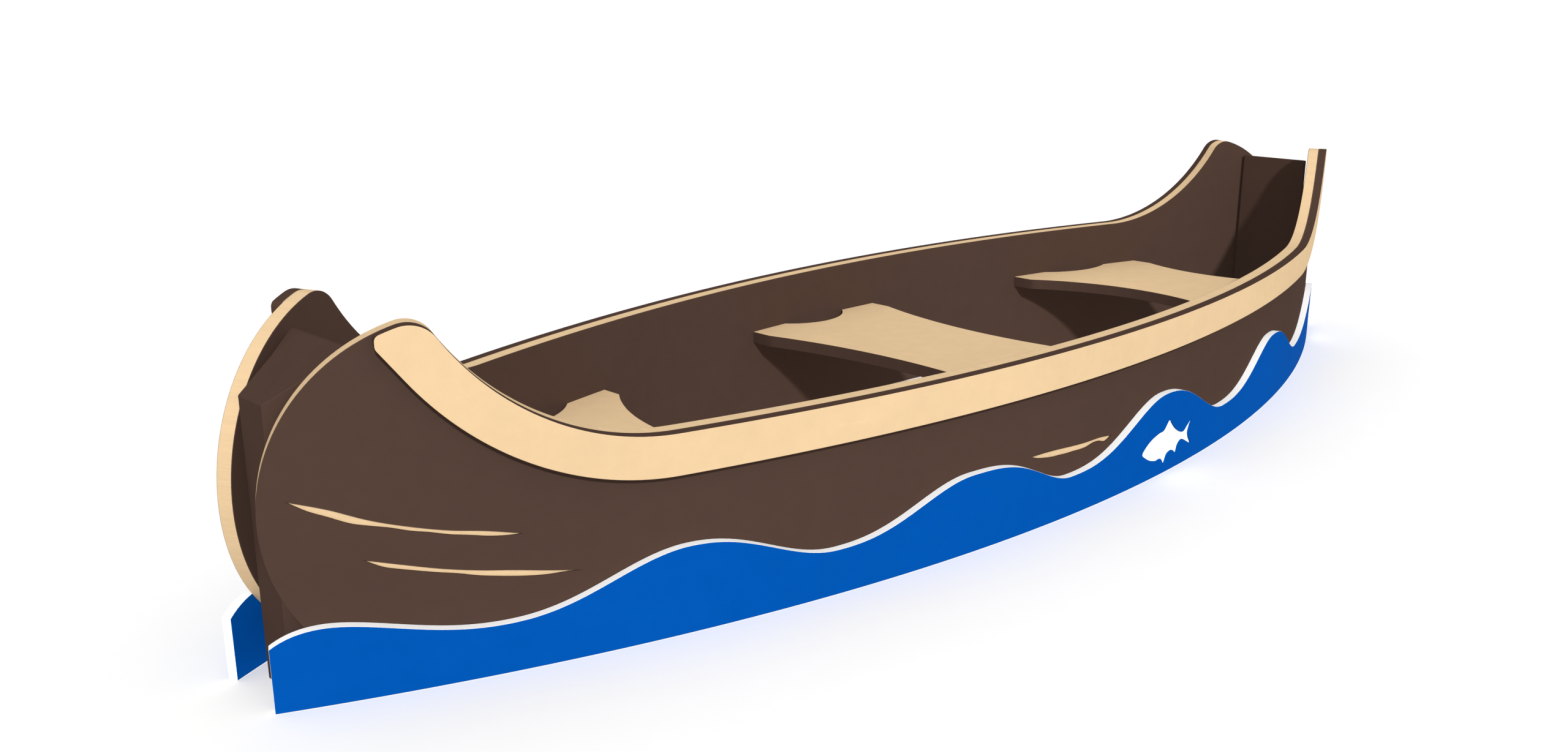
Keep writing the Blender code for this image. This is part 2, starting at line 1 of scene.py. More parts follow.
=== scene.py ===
"""Looks of the playground canoe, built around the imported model.

The sheet pieces are modelled again at a finer pitch, on the same outlines: the
sides follow the true arc, every cut edge is rounded over, and each sheet shows
its coloured skin on the two faces and its core on cut edges and in pockets.
Steel brackets get smooth bends, softened rims and round holes, and screws get
domed heads with a hex socket.
"""

import math

import bmesh
import bpy
import numpy as np
from mathutils import Matrix, Vector


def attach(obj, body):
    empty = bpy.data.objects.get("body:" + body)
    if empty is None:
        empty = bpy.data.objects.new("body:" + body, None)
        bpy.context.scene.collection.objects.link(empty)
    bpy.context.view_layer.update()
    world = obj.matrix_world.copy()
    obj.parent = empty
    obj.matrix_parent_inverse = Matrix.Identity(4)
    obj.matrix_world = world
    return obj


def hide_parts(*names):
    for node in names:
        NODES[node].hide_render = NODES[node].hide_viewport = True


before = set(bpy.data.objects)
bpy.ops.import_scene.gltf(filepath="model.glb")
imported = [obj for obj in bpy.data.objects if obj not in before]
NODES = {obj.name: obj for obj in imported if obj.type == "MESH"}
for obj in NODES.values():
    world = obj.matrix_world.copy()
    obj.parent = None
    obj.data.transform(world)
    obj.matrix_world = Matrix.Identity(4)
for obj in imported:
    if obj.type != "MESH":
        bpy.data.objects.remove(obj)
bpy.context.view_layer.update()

# ------------------------------------------------------------------ dimensions
GAP = 0.0003
R_HULL = 3.535
HALF_BEAM = 0.411
Y_CENTRE = R_HULL - HALF_BEAM
CAD_PITCH = 0.060         # bend lines of the model underneath
PITCH = 0.020             # bend lines here

T_HULL, T_TRIM, T_WAVE, T_SEAT, T_STEEL = 0.025, 0.019, 0.016, 0.025, 0.004
ROUND_OVER = 0.0010       # rounding of cut edges
CAP = 0.00035             # depth of the coloured skin on a thin sheet
HULL_CAP = 0.0010         # and on the hull sheet
POCKET_DEPTH = 0.003
BEND_R = 0.002            # inner bend radius of a steel angle
STRAP_BEND_R = 0.0135

END_S, END_Z, END_R = 1.328, 0.2625, 0.2675
PEAK_R = 0.045
SHEER_S, SHEER_R, SHEER_Z = 1.016, 0.402, 0.3205

TRIM_END_S = 1.431
TRIM_LOW_Z = 0.2552
TRIM_LOW_S, TRIM_LOW_R = 1.014, 0.477
TRIM_TANGENT_S = 1.395
TRIM_UPPER_ROUND, TRIM_LOWER_ROUND = 0.010, 0.012

WAVE_END_S = 1.5965
WAVE_TOP = ((-1.5965, 0.095, 0.25), (-1.524, 0.115, 0.44),
            (-1.283, 0.076, 0.54), (-0.997, 0.141, 0.53),
            (-0.735, 0.0765, 0.56), (-0.444, 0.1415, 0.63),
            (-0.182, 0.0765, 0.59), (0.139, 0.166, 0.56),
            (0.422, 0.077, 0.60), (0.746, 0.164, 0.57),
            (1.040, 0.073, 0.55), (1.450, 0.147, 0.50),
            (1.5965, 0.120, 0.50))

FISH = ((0.160, 0.060, 0.205), (1.465, 0.054, 0.190))
FISH_SLIM = 0.56
FISH_SHAPE = ((0.00, 0.00), (0.05, 0.09), (0.16, 0.19), (0.30, 0.25),
              (0.40, 0.27), (0.50, 0.42), (0.57, 0.31), (0.66, 0.18),
              (0.80, 0.07), (0.90, 0.16), (1.00, 0.25), (0.95, 0.10),
              (0.93, 0.00), (0.95, -0.10), (1.00, -0.23), (0.90, -0.15),
              (0.80, -0.07), (0.72, -0.13), (0.68, -0.27), (0.60, -0.18),
              (0.50, -0.21), (0.44, -0.36), (0.37, -0.24), (0.28, -0.24),
              (0.16, -0.18), (0.05, -0.08))
GROOVES = ((-1.558, 0.2945, -1.246, 0.2015, (0, -2.5, -9.5, -11, -9, -3, 0),
            (0, 8, 11, 12, 8.5, 6, 6.5, 5.5, 6.5, 7, 8, 5.5, 0)),
           (-1.467, 0.1985, -1.161, 0.1300, (0, -3.5, -6.5, -6.5, -4, -2.5, 0),
            (0, 7, 7.5, 7, 6.5, 6.5, 8.5, 9.5, 10, 9, 6.5, 2.5, 0)),
           (-0.281, 0.1327, -0.034, 0.1190, (0, 1.5, 1.5, 0.5, 0.5, 2, 0),
            (0, 6.5, 10, 12, 12, 12, 11, 11, 10, 6.5, 6.5, 9.5, 0)),
           (1.210, 0.1570, 1.500, 0.2065, (0, 9.5, 16, 15.5, 12, 7, 0),
            (0, 5, 6, 7, 8, 8, 8, 7, 7, 6, 5, 3, 0)))

STEM_FRONT_X, STEM_FRONT_HALF = 1.508, 0.034
STEM_KINK_X, STEM_KINK_HALF = 1.4445, 0.0615
STEM_WIDE_X, STEM_WIDE_HALF = 1.399, 0.0893
STEM_BACK_X, STEM_BACK_HALF = 1.394, 0.0850
STEM_TOP_Z, STEM_NOSE_Z, STEM_FLAT_X = 0.482, 0.418, 1.399

SEATS = {
    "bow": (0.191, (-1.072, 0.168, 0.037), (-0.671, 0.276, 0.091),
            (0.100, 0.032)),
    "middle": (0.214, (-0.2135, 0.331, 0.0465), (0.1795, 0.331, 0.053),
               (0.0945, 0.047)),
    "stern": (0.2135, (0.667, 0.272, 0.086), (1.072, 0.168, 0.037),
              (0.103, 0.030)),
}
ANGLE_HALF = 0.134
ANGLE_LEG_V, ANGLE_LEG_H = 0.018, 0.036
ANGLE_CUT_HALF = 0.101
ANGLE_CORNER = 0.012      # round of its lower corners
STRAP_Z0, STRAP_Z1 = 0.040, 0.100
STRAP_LEG_S = 1.392
FOOT_S = 1.170
FOOT_HALF = 0.040
FOOT_LEG_V, FOOT_LEG_H = 0.040, 0.046
ANCHOR_R, ANCHOR_IN = 0.006, 0.027
IN_FACE = -T_HULL - GAP
IN_BACK = IN_FACE - T_STEEL

SIDES = (("port", -1.0), ("starboard", 1.0))
ENDS = (("bow", -1.0), ("stern", 1.0))


# --------------------------------------------------------------------- outlines
def plan_point(s, d, side):
    """Point in plan on the model's facets."""
    k = math.floor(s / CAD_PITCH + 1e-7)
    t = s / CAD_PITCH - k
    r = R_HULL + d
    line = []
    for i in (k, k + 1):
        a = i * CAD_PITCH / R_HULL
        line.append(Vector((r * math.sin(a), r * math.cos(a) - Y_CENTRE)))
    p = line[0].lerp(line[1], t)
    return Vector((p.x, side * p.y))


def s_on_face(x, d):
    return R_HULL * math.asin(x / (R_HULL + d))


def arc(cu, cv, r, a0, a1, n):
    return [(cu + r * math.cos(math.radians(a0 + (a1 - a0) * i / n)),
             cv + r * math.sin(math.radians(a0 + (a1 - a0) * i / n)))
            for i in range(n + 1)]


def curve_edge(p0, p1, depth, n):
    a, b = Vector(p0), Vector(p1)
    half = (b - a).length / 2
    r = (half * half + depth * depth) / (2 * abs(depth))
    along = (b - a).normalized()
    left = Vector((-along.y, along.x)) * math.copysign(1.0, depth)
    centre = (a + b) / 2 - left * (r - abs(depth))
    sweep = math.asin(half / r)
    return [tuple(centre + left * (r * math.cos(sweep * (2 * i / n - 1)))
                  + along * (r * math.sin(sweep * (2 * i / n - 1))))
            for i in range(n + 1)]


def rounded_corner(p, q, e, r, n):
    p, q, e = Vector(p), Vector(q), Vector(e)
    a, b = (p - q).normalized(), (e - q).normalized()
    half = a.angle(b) / 2
    t = r / math.tan(half)
    centre = q + (a + b).normalized() * (r / math.sin(half))
    v0 = q + a * t - centre
    v1 = q + b * t - centre
    turn = v0.angle_signed(v1)
    return [tuple(centre + Matrix.Rotation(-turn * i / n, 2) @ v0)
            for i in range(n + 1)]


def mirrored(half):
    return list(half) + [(-u, v) for u, v in reversed(half)]


def peak_centre():
    a = Vector((END_S, END_Z))
    b = Vector((SHEER_S, SHEER_Z + SHEER_R))
    ra, rb = END_R - PEAK_R, SHEER_R + PEAK_R
    gap = (b - a).length
    along = (ra * ra - rb * rb + gap * gap) / (2 * gap)
    off = math.sqrt(ra * ra - along * along)
    axis = (b - a) / gap
    return a + axis * along + Vector((axis.y, -axis.x)) * off


def top_profile(start_angle, n_end):
    c = peak_centre()
    a_end = math.degrees(math.atan2(c.y - END_Z, c.x - END_S))
    a_sheer = math.degrees(math.atan2(c.y - SHEER_Z - SHEER_R, c.x - SHEER_S))
    return (arc(END_S, END_Z, END_R, start_angle, a_end, n_end)
            + arc(c.x, c.y, PEAK_R, a_end, 180 + a_sheer, 18)
            + arc(SHEER_S, SHEER_Z + SHEER_R, SHEER_R, a_sheer, -90, 36))


def hull_outline():
    start = -math.degrees(math.asin(END_Z / END_R))
    return mirrored(top_profile(start, 72))


def trim_outline():
    end_z = END_Z + math.sqrt(END_R ** 2 - (TRIM_END_S - END_S) ** 2)
    low_c = TRIM_LOW_Z + TRIM_LOW_R
    sweep = math.asin((TRIM_TANGENT_S - TRIM_LOW_S) / TRIM_LOW_R)
    tangent = (TRIM_TANGENT_S, low_c - TRIM_LOW_R * math.cos(sweep))
    low_z = tangent[1] + (TRIM_END_S - TRIM_TANGENT_S) * math.tan(sweep)
    upper, lower = (TRIM_END_S, end_z), (TRIM_END_S, low_z)
    near = TRIM_END_S - 0.0075
    top = top_profile(math.degrees(math.acos((near - END_S) / END_R)), 8)
    half = (arc(TRIM_LOW_S, low_c, TRIM_LOW_R, -90,
                math.degrees(sweep) - 90, 36)
            + rounded_corner(tangent, lower, upper, TRIM_LOWER_ROUND, 8)
            + rounded_corner(lower, upper, top[0], TRIM_UPPER_ROUND, 10)
            + top)
    return mirrored(half)


def wave_outline():
    points = [(WAVE_END_S, 0.0), (-WAVE_END_S, 0.0)]
    for (s0, z0, skew), (s1, z1, _) in zip(WAVE_TOP, WAVE_TOP[1:]):
        n = max(9, round((s1 - s0) / 0.010))
        for i in range(n):
            t = i / n
            turn = t ** (math.log(0.5) / math.log(skew))
            rise = 0.5 - 0.5 * math.cos(math.pi * turn)
            points.append((s0 + (s1 - s0) * t, z0 + (z1 - z0) * rise))
    points.append(WAVE_TOP[-1][:2])
    return points[::-1]


def smooth_loop(points, steps):
    """Rounded closed outline through the points."""
    points = [Vector(p) for p in points]
    out, n = [], len(points)
    for i in range(n):
        p0, p1, p2, p3 = (points[(i + j) % n] for j in (-1, 0, 1, 2))
        for k in range(steps):
            t = k / steps
            out.append(tuple(0.5 * (2 * p1 + (p2 - p0) * t
                             + (2 * p0 - 5 * p1 + 4 * p2 - p3) * t ** 2
                             + (3 * p1 - p0 - 3 * p2 + p3) * t ** 3)))
    return out


def fish_outline(s, z, length):
    return smooth_loop([(s + (u - 0.5) * length, z + v * length * FISH_SLIM)
                        for u, v in FISH_SHAPE], 5)


def along(values, t):
    """Smooth curve through evenly spaced values, at t from 0 to 1."""
    n = len(values) - 1
    k = min(int(t * n), n - 1)
    f = t * n - k
    p1, p2 = values[k], values[k + 1]
    p0 = values[k - 1] if k else 2 * p1 - p2
    p3 = values[k + 2] if k + 2 <= n else 2 * p2 - p1
    return 0.5 * (2 * p1 + (p2 - p0) * f + (2 * p0 - 5 * p1 + 4 * p2 - p3) * f ** 2
                  + (3 * p1 - p0 - 3 * p2 + p3) * f ** 3)


def groove_outline(s0, z0, s1, z1, bow, width):
    upper, lower = [], []
    n = 60
    for i in range(n + 1):
        t = i / n
        s = s0 + (s1 - s0) * t
        z = z0 + (z1 - z0) * t + along(bow, t) / 1000
        upper.append((s, z))
        if 0 < i < n:
            lower.append((s, z - along(width, t) / 1000))
    return lower[::-1] + upper


def seat_outline(fore, aft, notch):
    d_end = -T_HULL - GAP
    s0, s1 = s_on_face(fore[0], d_end), s_on_face(aft[0], d_end)
    mid = (s0 + s1) / 2
    half, depth = notch

    def end(side):
        stops = [(s0, d_end)]
        k = math.ceil(s0 / CAD_PITCH)
        columns = []
        while k * CAD_PITCH < s1:
            columns.append(k * CAD_PITCH)
            k += 1
        stops += [(s, d_end) for s in columns
                  if s0 + 0.004 < s < mid - half - 0.004]
        stops += curve_edge((mid - half, d_end),
                            (mid + half, d_end), -depth, 40)
        stops += [(s, d_end) for s in columns
                  if mid + half + 0.004 < s < s1 - 0.004]
        stops.append((s1, d_end))
        return [tuple(plan_point(s, d, side)) for s, d in stops]

    x0, y0, dip0 = fore
    x1, y1, dip1 = aft
    return (end(-1.0)
            + curve_edge((x1, -y1), (x1, y1), dip1, 56)
            + end(1.0)[::-1]
            + curve_edge((x0, y0), (x0, -y0), dip0, 56))


def angle_section(corner, side_end, flat_end):
    """Bent angle in (d, z): outer corner, end of its upright and flat leg."""
    corner, side_end, flat_end = (Vector(p) for p in (corner, side_end, flat_end))
    up = (side_end - corner).normalized()
    flat = (flat_end - corner).normalized()
    inner = corner + (up + flat) * T_STEEL
    side_in, flat_in = side_end + flat * T_STEEL, flat_end + up * T_STEEL
    rim = 0.0008
    return (rounded_corner(side_in, side_end, corner, rim, 3)
            + rounded_corner(side_end, corner, flat_end, BEND_R + T_STEEL, 10)
            + rounded_corner(corner, flat_end, flat_in, rim, 3)
            + rounded_corner(flat_end, flat_in, inner, rim, 3)
            + rounded_corner(flat_in, inner, side_in, BEND_R, 8)
            + rounded_corner(inner, side_in, side_end, rim, 3))


def strap_outline(end):
    """Stem strap in plan: along one hull side, across the block, back."""
    face = -T_HULL - GAP
    back = STEM_BACK_X - GAP
    leg = plan_point(STRAP_LEG_S, face, 1.0)
    corner = plan_point(s_on_face(back, face), face, 1.0)
    across = Vector((corner.x, 0.0))
    run, turn = (leg - corner).normalized(), (across - corner).normalized()
    half_turn = run.angle(turn) / 2
    inside = corner + (run + turn).normalized() * (T_STEEL / math.sin(half_turn))
    leg_in = leg + Vector((run.y, -run.x)) * -T_STEEL
    outer = [tuple(leg)] + rounded_corner(leg, corner, across, STRAP_BEND_R, 12)
    inner = [tuple(leg_in)] + rounded_corner(leg_in, inside,
                                             (inside.x, 0.0),
                                             STRAP_BEND_R - T_STEEL, 12)
    half = outer + [(x, -y) for x, y in reversed(outer)]
    half += [(x, -y) for x, y in inner] + inner[::-1]
    return [(end * x, y) for x, y in half]


# ------------------------------------------------------------------- modelling
def clean(points):
    out = []
    for p in points:
        if not out or math.dist(p, out[-1]) > 2e-5:
            out.append(tuple(p))
    if math.dist(out[0], out[-1]) < 2e-5:
        out.pop()
    area = sum(a[0] * b[1] - b[0] * a[1] for a, b in zip(out, out[1:] + out[:1]))
    return out if area > 0 else out[::-1]


def slab(outline, lo, hi, edge=0.0):
    """Plate from z = lo to z = hi, its rims rounded over by edge."""
    bm = bmesh.new()
    points = clean(outline)
    n = len(points)
    low = [bm.verts.new((u, v, lo)) for u, v in points]
    high = [bm.verts.new((u, v, hi)) for u, v in points]
    bm.faces.new(high)
    bm.faces.new(low[::-1])
    for i in range(n):
        j = (i + 1) % n
        bm.faces.new((low[i], low[j], high[j], high[i]))
    bm.normal_update()
    if edge:
        rim = [e for e in bm.edges
               if abs(e.verts[0].co.z - e.verts[1].co.z) < 1e-7]
        bmesh.ops.bevel(bm, geom=rim, offset=edge, offset_type="OFFSET",
                        segments=4, profile=0.5, affect="EDGES",
                        clamp_overlap=False, miter_outer="SHARP",
                        miter_inner="SHARP")
    return bm


def to_object(name, bm):
    mesh = bpy.data.meshes.new(name)
    bm.to_mesh(mesh)
    bm.free()
    obj = bpy.data.objects.new(name, mesh)
    bpy.context.scene.collection.objects.link(obj)
    return obj


def carve(bm, cutters):
    """Take the cutters out of bm."""
    if not cutters:
        return bm
    base = to_object("carve_base", bm)
    joined = bmesh.new()
    for c in cutters:
        part = bpy.data.meshes.new("cutter")
        c.to_mesh(part)
        c.free()
        joined.from_mesh(part)
        bpy.data.meshes.remove(part)
    tool = to_object("carve_tool", joined)
    mod = base.modifiers.new("cut", "BOOLEAN")
    mod.operation = "DIFFERENCE"
    mod.solver = "EXACT"
    mod.object = tool
    bpy.context.view_layer.update()
    graph = bpy.context.evaluated_depsgraph_get()
    mesh = bpy.data.meshes.new_from_object(base.evaluated_get(graph))
    out = bmesh.new()
    out.from_mesh(mesh)
    for o in (base, tool):
        data = o.data
        bpy.data.objects.remove(o)
        bpy.data.meshes.remove(data)
    bpy.data.meshes.remove(mesh)
    return out


def paint_faces(bm, lo, hi, cap_lo, cap_hi, pocket=None):
    """Skin is slot 0, on the faces, their rims and pocket walls; core is 1."""
    for at, cap in ((lo + cap_lo, cap_lo), (hi - cap_hi, cap_hi)):
        if cap:
            bmesh.ops.bisect_plane(
                bm, geom=bm.verts[:] + bm.edges[:] + bm.faces[:], dist=1e-6,
                plane_co=(0, 0, at), plane_no=(0, 0, 1))
    bm.normal_update()
    for f in bm.faces:
        z = f.calc_center_median().z
        skin = z > hi - max(cap_hi, 1e-5) or z < lo + max(cap_lo, 1e-5)
        if pocket is not None and abs(f.normal.z) < 0.5:
            skin |= abs(min(v.co.z for v in f.verts) - pocket) < 1e-5
        f.material_index = 0 if skin else 1


def plain_faces(bm):
    bmesh.ops.triangulate(bm, faces=[f for f in bm.faces if len(f.verts) > 4],
                          quad_method="BEAUTY", ngon_method="EAR_CLIP")


def split_at(bm, pitch):
    """Cut the plate along bend lines across s."""
    plain_faces(bm)
    low = min(v.co.x for v in bm.verts)
    high = max(v.co.x for v in bm.verts)
    k = math.ceil(low / pitch)
    while k * pitch < high:
        at = k * pitch
        if min(at - low, high - at) > 1e-4:
            bmesh.ops.bisect_plane(
                bm, geom=bm.verts[:] + bm.edges[:] + bm.faces[:], dist=1e-6,
                plane_co=(at, 0, 0), plane_no=(1, 0, 0))
        k += 1


def note_sheet(bm):
    """Keep the flat sheet's own coordinates for the materials."""
    layer = bm.verts.layers.float_vector.new("sheet")
    for v in bm.verts:
        v[layer] = v.co


def bend(bm, side):
    for v in bm.verts:
        a, r = v.co.x / R_HULL, R_HULL + v.co.z
        v.co = Vector((r * math.sin(a), side * (r * math.cos(a) - Y_CENTRE),
                       v.co.y))
    if bm.calc_volume(signed=True) < 0:
        bmesh.ops.reverse_faces(bm, faces=bm.faces)
    return bm


def finish_piece(name, bm, skins, nodes):
    """Object from bm, in place of the named nodes."""
    bmesh.ops.remove_doubles(bm, verts=bm.verts, dist=2e-6)
    obj = to_object(name, bm)
    for m in skins:
        obj.data.materials.append(m)
    obj.data.shade_smooth()
    obj.data.set_sharp_from_angle(angle=math.radians(36))
    weigh = obj.modifiers.new("even_shading", "WEIGHTED_NORMAL")
    weigh.keep_sharp = True
    weigh.weight = 60
    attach(obj, "root")
    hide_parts(*nodes)
    return obj


def bent_sheet(name, outline, lo, hi, side, skins, cutters=(), cap=CAP):
    bm = carve(slab(outline, lo, hi, ROUND_OVER), list(cutters))
    paint_faces(bm, lo, hi, cap, cap, hi - POCKET_DEPTH)
    split_at(bm, PITCH)
    note_sheet(bm)
    bend(bm, side)
    return finish_piece(name + "_sheet", bm, skins, [name])


def disc(u, v, r, n=28):
    return [(u + r * math.cos(2 * math.pi * i / n),
             v + r * math.sin(2 * math.pi * i / n)) for i in range(n)]


# ------------------------------------------------------------------- materials
def linear(rgb):
    return tuple((c / 255 / 12.92) if c <= 10 else ((c / 255 + 0.055) / 1.055) ** 2.4
                 for c in rgb)


class Nodes:
    """Small helper that lays out a node tree."""

    def __init__(self, name):
        self.mat = bpy.data.materials.new(name)
        self.mat.use_nodes = True
        self.tree = self.mat.node_tree
        self.shader = self.tree.nodes["Principled BSDF"]

    def add(self, kind, **values):
        node = self.tree.nodes.new(kind)
        for key, value in values.items():
            setattr(node, key, value)
        return node

    def link(self, a, b):
        self.tree.links.new(a, b)

    def coords(self):
        node = self.add("ShaderNodeAttribute", attribute_name="sheet")
        return node.outputs["Vector"]

    def placed(self):
        return self.add("ShaderNodeTexCoord").outputs["Object"]

    def stretched(self, vector, scale):
        node = self.add("ShaderNodeMapping")
        node.inputs["Scale"].default_value = scale
        self.link(vector, node.inputs["Vector"])
        return node.outputs["Vector"]

    def noise(self, vector, scale, detail=2.0, rough=0.5, distort=0.0):
        node = self.add("ShaderNodeTexNoise")
        node.inputs["Scale"].default_value = scale
        node.inputs["Detail"].default_value = detail
        node.inputs["Roughness"].default_value = rough
        node.inputs["Distortion"].default_value = distort
        self.link(vector, node.inputs["Vector"])
        return node.outputs["Fac"]

    def remap(self, value, a, b, lo, hi):
        node = self.add("ShaderNodeMapRange")
        node.inputs["From Min"].default_value = a
        node.inputs["From Max"].default_value = b
        node.inputs["To Min"].default_value = lo
        node.inputs["To Max"].default_value = hi
        self.link(value, node.inputs["Value"])
        return node.outputs["Result"]

    def math(self, op, a, b):
        node = self.add("ShaderNodeMath", operation=op)
        for i, x in enumerate((a, b)):
            if isinstance(x, (int, float)):
                node.inputs[i].default_value = x
            else:
                self.link(x, node.inputs[i])
        return node.outputs["Value"]

    def mix(self, fac, a, b):
        node = self.add("ShaderNodeMix", data_type="RGBA")
        self.link(fac, node.inputs["Factor"])
        for socket, x in (("A", a), ("B", b)):
            target = next(i for i in node.inputs
                          if i.name == socket and i.type == "RGBA")
            if isinstance(x, tuple):
                target.default_value = (*x, 1.0)
            else:
                self.link(x, target)
        return next(o for o in node.outputs if o.type == "RGBA")

    def bump(self, height, strength, distance, before=None):
        node = self.add("ShaderNodeBump")
        node.inputs["Strength"].default_value = strength
        node.inputs["Distance"].default_value = distance
        self.link(height, node.inputs["Height"])
        if before is not None:
            self.link(before, node.inputs["Normal"])
        return node.outputs["Normal"]

    def set(self, name, value):
        if hasattr(value, "is_linked"):
            self.link(value, self.shader.inputs[name])
        else:
            self.shader.inputs[name].default_value = value


def scaled(c, k):
    return tuple(min(1.0, x * k) for x in c)


def sheet_skin(name, colour):
    """Coloured face of the plastic sheet: orange-peel grain, faint mottle."""
    n = Nodes(name)
    at = n.coords()
    broad = n.noise(at, 2.3, 3.0, 0.55)
    cloudy = n.noise(at, 31.0, 4.0, 0.6)
    speck = n.noise(at, 620.0, 2.0, 0.6)
    tone = n.math("ADD", n.remap(broad, 0.3, 0.7, 0.0, 0.45),
                  n.math("ADD", n.remap(cloudy, 0.3, 0.7, 0.0, 0.35),
                         n.remap(speck, 0.3, 0.7, 0.0, 0.20)))
    base = n.mix(tone, scaled(colour, 0.93), scaled(colour, 1.07))
    rubbed = n.noise(n.stretched(at, (3.0, 95.0, 40.0)), 1.6, 5.0, 0.62, 0.25)
    scuff = n.remap(rubbed, 0.64, 0.74, 0.0, 0.055)
    n.set("Base Color", n.mix(scuff, base, scaled(colour, 1.9)))
    n.set("Roughness", n.remap(n.math("ADD", cloudy, rubbed), 0.6, 1.4, 0.66, 0.80))
    peel = n.noise(at, 520.0, 2.0, 0.45)
    grain = n.bump(peel, 0.30, 0.00035)
    n.set("Normal", n.bump(cloudy, 0.05, 0.0010, grain))
    n.set("Specular IOR Level", 0.004)
    return n.mat


def sheet_core(name, colour, spread=1.0):
    """Cut edge or pocket: the core, with fine marks of the cutter."""
    n = Nodes(name)
    at = n.coords()
    marks = n.noise(n.stretched(at, (780.0, 780.0, 26.0)), 1.0, 2.0, 0.5)
    bands = n.noise(n.stretched(at, (55.0, 55.0, 3.0)), 1.0, 3.0, 0.55)
    tone = n.math("ADD", n.remap(marks, 0.3, 0.7, 0.0, 0.5),
                  n.remap(bands, 0.3, 0.7, 0.0, 0.5))
    n.set("Base Color", n.mix(tone, scaled(colour, 1 - 0.08 * spread),
                              scaled(colour, 1 + 0.06 * spread)))
    n.set("Roughness", n.remap(bands, 0.3, 0.7, 0.66, 0.80))
    n.set("Normal", n.bump(marks, 0.35, 0.00022))
    n.set("Specular IOR Level", 0.004)
    return n.mat


def steel(name, colour, rough, brushed):
    """Plated or turned steel: spangle, rub marks, uneven gloss."""
    n = Nodes(name)
    at = n.placed()
    cells = n.add("ShaderNodeTexVoronoi", feature="SMOOTH_F1")
    cells.inputs["Scale"].default_value = 240.0
    n.link(at, cells.inputs["Vector"])
    fine = n.noise(n.stretched(at, brushed), 1.0, 4.0, 0.65)
    dull = n.noise(at, 18.0, 4.0, 0.6)
    tone = n.math("ADD", n.remap(cells.outputs["Distance"], 0.0, 0.9, 0.0, 0.45),
                  n.math("ADD", n.remap(fine, 0.3, 0.7, 0.0, 0.3),
                         n.remap(dull, 0.3, 0.7, 0.0, 0.25)))
    n.set("Base Color", n.mix(tone, scaled(colour, 0.80), scaled(colour, 1.12)))
    n.set("Metallic", 1.0)
    n.set("Roughness", n.remap(n.math("ADD", fine, dull), 0.6, 1.4,
                               rough - 0.08, rough + 0.12))
    n.set("Normal", n.bump(fine, 0.12, 0.0002))
    return n.mat


BROWN_RGB = (0.0673, 0.0396, 0.0299)
TAN_RGB = (0.685, 0.493, 0.289)
BLUE_RGB = (0.0005, 0.0729, 0.3500)
WHITE_RGB = (0.99, 0.99, 0.98)

brown_skin = sheet_skin("brown_skin", BROWN_RGB)
brown_core = sheet_core("brown_core", BROWN_RGB)
tan_skin = sheet_skin("tan_skin", TAN_RGB)
tan_core = sheet_core("tan_core", TAN_RGB)
blue_skin = sheet_skin("blue_skin", BLUE_RGB)
white_core = sheet_core("white_core", WHITE_RGB, 0.35)
zinc = steel("zinc_plate", (0.56, 0.57, 0.58), 0.36, (60.0, 60.0, 420.0))
stainless = steel("stainless", (0.60, 0.59, 0.57), 0.26, (300.0, 300.0, 300.0))


# ------------------------------------------------------------ screws of the model
def screw_axis(node):
    """Where a screw's head sits, its axis, and its sizes, from the model."""
    co = np.array([v.co for v in NODES[node].data.vertices], float)
    co = np.unique(np.round(co, 6), axis=0)
    mid = co.mean(0)
    axis = np.linalg.svd(co - mid)[2][0]
    t = (co - mid) @ axis
    away = np.linalg.norm(co - mid - np.outer(t, axis), axis=1)
    head = away.max()
    rim = t[away > head * 0.97]
    if abs(rim.mean() - t.min()) < abs(rim.mean() - t.max()):
        axis, t, rim = -axis, -t, -rim
    seat = Vector(mid + axis * rim.min())
    return (seat, Vector(axis), head, float(rim.min() - t.min()),
            float(t.max() - rim.min()))


SCREWS = {n: screw_axis(n) for n in sorted(NODES)
          if "screw" in n or "bolt" in n}


def hull_holes(side_name, side, piece):
    """Holes for the screws of one side, as discs in the flat sheet."""
    out = []
    for node, (seat, axis, head, length, height) in SCREWS.items():
        if side_name not in node or node.startswith("seat_screw"):
            continue
        if piece == "wave" and not node.startswith(("foot_bolt", "wave_screw")):
            continue
        a = math.atan2(seat.x, side * seat.y + Y_CENTRE)
        r = math.hypot(seat.x, side * seat.y + Y_CENTRE)
        shank = 0.0044 if head > 0.006 else 0.0034
        tip = r - R_HULL + length
        out.append((a * R_HULL, seat.z, shank, tip))
    return out


# ----------------------------------------------------------------------- sheets
for side_name, side in SIDES:
    cutters = [slab(groove_outline(*g), -POCKET_DEPTH, 0.004) for g in GROOVES]
    for s, z, r, tip in hull_holes(side_name, side, "hull"):
        cutters.append(slab(disc(s, z, r), -T_HULL - 0.004,
                            min(tip + 0.0008, 0.004)))
    bent_sheet(f"hull_{side_name}", hull_outline(), -T_HULL, 0.0, side,
               (brown_skin, tan_core), cutters, HULL_CAP)

    bent_sheet(f"gunwale_trim_{side_name}", trim_outline(), GAP, T_TRIM, side,
               (tan_skin, brown_core))

    cutters = [slab(fish_outline(*f), T_WAVE - POCKET_DEPTH, T_WAVE + 0.004)
               for f in FISH]
    for s, z, r, tip in hull_holes(side_name, side, "wave"):
        cutters.append(slab(disc(s, z, r), -0.004, tip + 0.0008))
    bent_sheet(f"wave_panel_{side_name}", wave_outline(), GAP, T_WAVE, side,
               (blue_skin, white_core), cutters)

